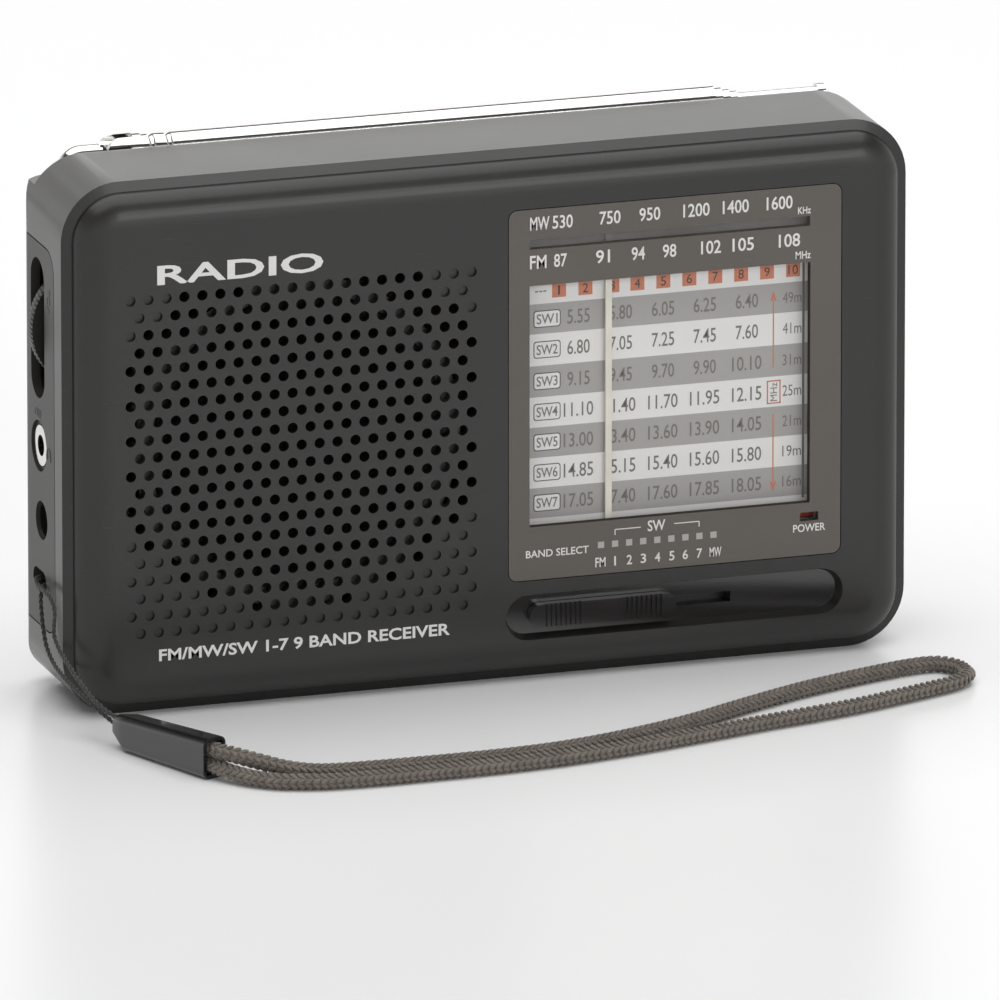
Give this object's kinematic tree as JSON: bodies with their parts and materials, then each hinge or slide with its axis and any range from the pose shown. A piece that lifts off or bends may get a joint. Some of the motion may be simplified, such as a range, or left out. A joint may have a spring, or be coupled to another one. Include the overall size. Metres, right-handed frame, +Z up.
{
  "type": "shortwave receiver",
  "caption": "Pocket multiband shortwave radio with speaker grille, sliding band selector, linear dial, side thumb wheels, telescopic aerial and wrist strap.",
  "frame": {"origin": "middle of the case footprint, on the surface it stands on", "axes": "+Z up; the front faces -Y; +X to the right seen from the front"},
  "size_m": [0.1537, 0.0808, 0.0934],
  "materials": {
    "front_black": "fine satin texture",
    "shell_black": "fine satin texture",
    "side_black": "fine satin texture",
    "dial_lens": "clear, smoked",
    "dial_print": "printed scale",
    "ivory_plastic": "moulded",
    "gloss_black": "polished",
    "lamp_red": "clear red",
    "board_brown": "pressed board",
    "steel": "plated",
    "cone_paper": "pressed",
    "ferrite": "fired",
    "copper_wire": "enamelled",
    "wire_red": "insulated",
    "can_sleeve": "shrink sleeve",
    "cell_skin": "printed can",
    "cord_white": "waxed",
    "chrome": "polished",
    "brass": "turned",
    "wheel_black": "knurled",
    "tie_black": "twisted",
    "sleeve_black": "moulded",
    "strap_braid": "braided"
  },
  "bodies": {
    "case": {"front_cover": "front_black", "rear_shell": "shell_black", "left_panel": "side_black", "right_panel": "side_black", "dial_lens": "dial_lens", "dial_plate": "dial_print", "dial_frame": "ivory_plastic", "slider_track": "gloss_black", "power_lamp": "lamp_red", "main_board": "board_brown", "speaker_basket": "steel", "speaker_cone": "cone_paper", "speaker_magnet": "steel", "speaker_leads": "wire_red", "ferrite_rod": "ferrite", "ferrite_coil": "copper_wire", "if_cans": "steel", "electrolytics": "can_sleeve", "tuning_capacitor": "ivory_plastic", "volume_control": "board_brown", "tuning_spindle": "steel", "band_switch": "steel", "earphone_jack": "gloss_black", "earphone_ring": "chrome", "dc_jack": "gloss_black", "battery_1": "cell_skin", "battery_2": "cell_skin", "battery_contacts": "steel", "case_screws": "steel", "cord_pulleys": "ivory_plastic", "dial_cord": "cord_white", "aerial_bushing": "brass", "strap_pin": "side_black", "tie_cord": "tie_black", "strap_sleeve": "sleeve_black", "strap_cord": "strap_braid"},
    "volume": {"volume_wheel": "wheel_black"},
    "tuning": {"tuning_wheel": "wheel_black"},
    "drum": {"tuning_drum": "ivory_plastic"},
    "pointer": {"dial_pointer": "ivory_plastic"},
    "selector": {"band_knob": "gloss_black"},
    "door": {"battery_door": "shell_black"},
    "aerial_arm": {"aerial_swivel": "chrome", "aerial_pin": "chrome"},
    "mast": {"aerial_knuckle": "chrome", "aerial_tube_1": "chrome"},
    "tube_2": {"aerial_tube_2": "chrome"},
    "tube_3": {"aerial_tube_3": "chrome"},
    "tube_4": {"aerial_tube_4": "chrome"},
    "rod": {"aerial_rod": "chrome"}
  },
  "joints": [
    {"name": "volume_turn", "type": "hinge", "parent": "case", "child": "volume", "pos_m": [-0.0643, 0.0028, 0.064], "axis": [0, 1, 0], "range_deg": [0, 300]},
    {"name": "tuning_turn", "type": "hinge", "parent": "case", "child": "tuning", "pos_m": [0.0623, 0.0028, 0.064], "axis": [0, 1, 0], "range_deg": [-109, 316]},
    {"name": "drum_turn", "type": "hinge", "parent": "case", "child": "drum", "pos_m": [0.031, -0.0097, 0.06], "axis": [0, 1, 0], "range_deg": [-46.1, 133.6]},
    {"name": "pointer_slide", "type": "slide", "parent": "case", "child": "pointer", "axis": [1, 0, 0], "range_m": [-0.0115, 0.0332]},
    {"name": "band_slide", "type": "slide", "parent": "case", "child": "selector", "axis": [1, 0, 0], "range_m": [0, 0.0198]},
    {"name": "door_slide", "type": "slide", "parent": "case", "child": "door", "axis": [0, 0, -1], "range_m": [0, 0.03]},
    {"name": "aerial_turn", "type": "hinge", "parent": "case", "child": "aerial_arm", "pos_m": [-0.066, 0.0123, 0.087], "axis": [0, 0, 1], "range_deg": [0, 180]},
    {"name": "aerial_tilt", "type": "hinge", "parent": "aerial_arm", "child": "mast", "pos_m": [-0.057, 0.0123, 0.09044], "axis": [0, -1, 0], "range_deg": [0, 90]},
    {"name": "tube_2_pull", "type": "slide", "parent": "mast", "child": "tube_2", "axis": [1, 0, 0], "range_m": [0, 0.085]},
    {"name": "tube_3_pull", "type": "slide", "parent": "tube_2", "child": "tube_3", "axis": [1, 0, 0], "range_m": [0, 0.085]},
    {"name": "tube_4_pull", "type": "slide", "parent": "tube_3", "child": "tube_4", "axis": [1, 0, 0], "range_m": [0, 0.085]},
    {"name": "rod_pull", "type": "slide", "parent": "tube_4", "child": "rod", "axis": [1, 0, 0], "range_m": [0, 0.085]}
  ],
  "couplings": [
    {"joint": "drum_turn", "follows": "tuning_turn", "ratio": 0.42253},
    {"joint": "pointer_slide", "follows": "tuning_turn", "m_per_rad": 0.006}
  ]
}
